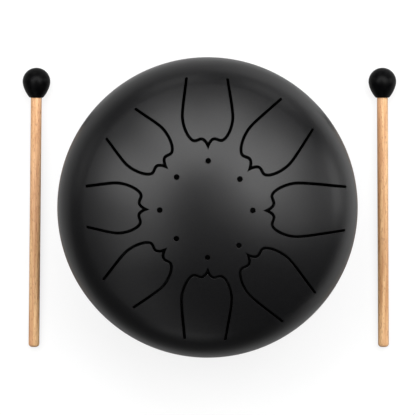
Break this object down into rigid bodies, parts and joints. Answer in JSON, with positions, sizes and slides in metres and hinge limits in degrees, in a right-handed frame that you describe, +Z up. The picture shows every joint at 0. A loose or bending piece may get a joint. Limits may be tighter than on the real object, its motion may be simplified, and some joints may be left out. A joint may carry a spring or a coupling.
{
  "type": "steel tongue drum",
  "caption": "Round black steel tongue drum with tulip-shaped tongues cut in its domed top, a sound hole below, rubber feet, and rubber-headed wooden mallets laid beside it.",
  "frame": {"origin": "on the drum's axis, at the height of the table that it stands on", "axes": "+Z up, +X towards the right mallet, +Y towards the mallets' heads, away from the player"},
  "size_m": [0.1958, 0.1524, 0.092],
  "materials": {
    "shell_paint": "satin black powder coat with a fine texture",
    "foot_rubber": "matte moulded",
    "mallet_rubber": "matte moulded",
    "mallet_wood": "plain sanded beech"
  },
  "bodies": {
    "shell": {"top_shell": "shell_paint", "bottom_shell": "shell_paint", "seam_weld": "shell_paint", "foot_1": "foot_rubber", "foot_2": "foot_rubber", "foot_3": "foot_rubber"},
    "tongue_1": {"tongue_1": "shell_paint"},
    "tongue_2": {"tongue_2": "shell_paint"},
    "tongue_3": {"tongue_3": "shell_paint"},
    "tongue_4": {"tongue_4": "shell_paint"},
    "tongue_5": {"tongue_5": "shell_paint"},
    "tongue_6": {"tongue_6": "shell_paint"},
    "tongue_7": {"tongue_7": "shell_paint"},
    "tongue_8": {"tongue_8": "shell_paint"},
    "left_mallet": {"left_mallet_stick": "mallet_wood", "left_mallet_head": "mallet_rubber"},
    "right_mallet": {"right_mallet_stick": "mallet_wood", "right_mallet_head": "mallet_rubber"}
  },
  "joints": [
    {"name": "tongue_1_spring", "type": "hinge", "parent": "shell", "child": "tongue_1", "pos_m": [0.06819, 0.00007, 0.06978], "axis": [-0.0279, -0.9996, 0], "range_deg": [-1, 1], "stiffness_Nm_per_rad": 93},
    {"name": "tongue_2_spring", "type": "hinge", "parent": "shell", "child": "tongue_2", "pos_m": [0.04422, 0.04691, 0.07334], "axis": [0.7266, -0.6871, 0], "range_deg": [-1, 1], "stiffness_Nm_per_rad": 105},
    {"name": "tongue_3_spring", "type": "hinge", "parent": "shell", "child": "tongue_3", "pos_m": [0.04528, -0.04882, 0.07149], "axis": [-0.7524, -0.6587, 0], "range_deg": [-1, 1], "stiffness_Nm_per_rad": 100},
    {"name": "tongue_4_spring", "type": "hinge", "parent": "shell", "child": "tongue_4", "pos_m": [-0.00024, 0.0644, 0.07344], "axis": [0.9997, -0.0227, 0], "range_deg": [-1, 1], "stiffness_Nm_per_rad": 106},
    {"name": "tongue_5_spring", "type": "hinge", "parent": "shell", "child": "tongue_5", "pos_m": [-0.00123, -0.06457, 0.0733], "axis": [-0.9996, 0.0279, 0], "range_deg": [-1, 1], "stiffness_Nm_per_rad": 100},
    {"name": "tongue_6_spring", "type": "hinge", "parent": "shell", "child": "tongue_6", "pos_m": [-0.04268, 0.04206, 0.07629], "axis": [0.6959, 0.7181, 0], "range_deg": [-1, 1], "stiffness_Nm_per_rad": 117},
    {"name": "tongue_7_spring", "type": "hinge", "parent": "shell", "child": "tongue_7", "pos_m": [-0.04403, -0.04181, 0.07586], "axis": [-0.7361, 0.6769, 0], "range_deg": [-1, 1], "stiffness_Nm_per_rad": 112},
    {"name": "tongue_8_spring", "type": "hinge", "parent": "shell", "child": "tongue_8", "pos_m": [-0.05961, 0.00118, 0.07645], "axis": [-0.0227, 0.9997, 0], "range_deg": [-1, 1], "stiffness_Nm_per_rad": 120},
    {"name": "left_mallet_lift", "type": "slide", "parent": "shell", "child": "left_mallet", "axis": [0, 0, 1], "range_m": [0, 0.12]},
    {"name": "right_mallet_lift", "type": "slide", "parent": "shell", "child": "right_mallet", "axis": [0, 0, 1], "range_m": [0, 0.12]}
  ]
}
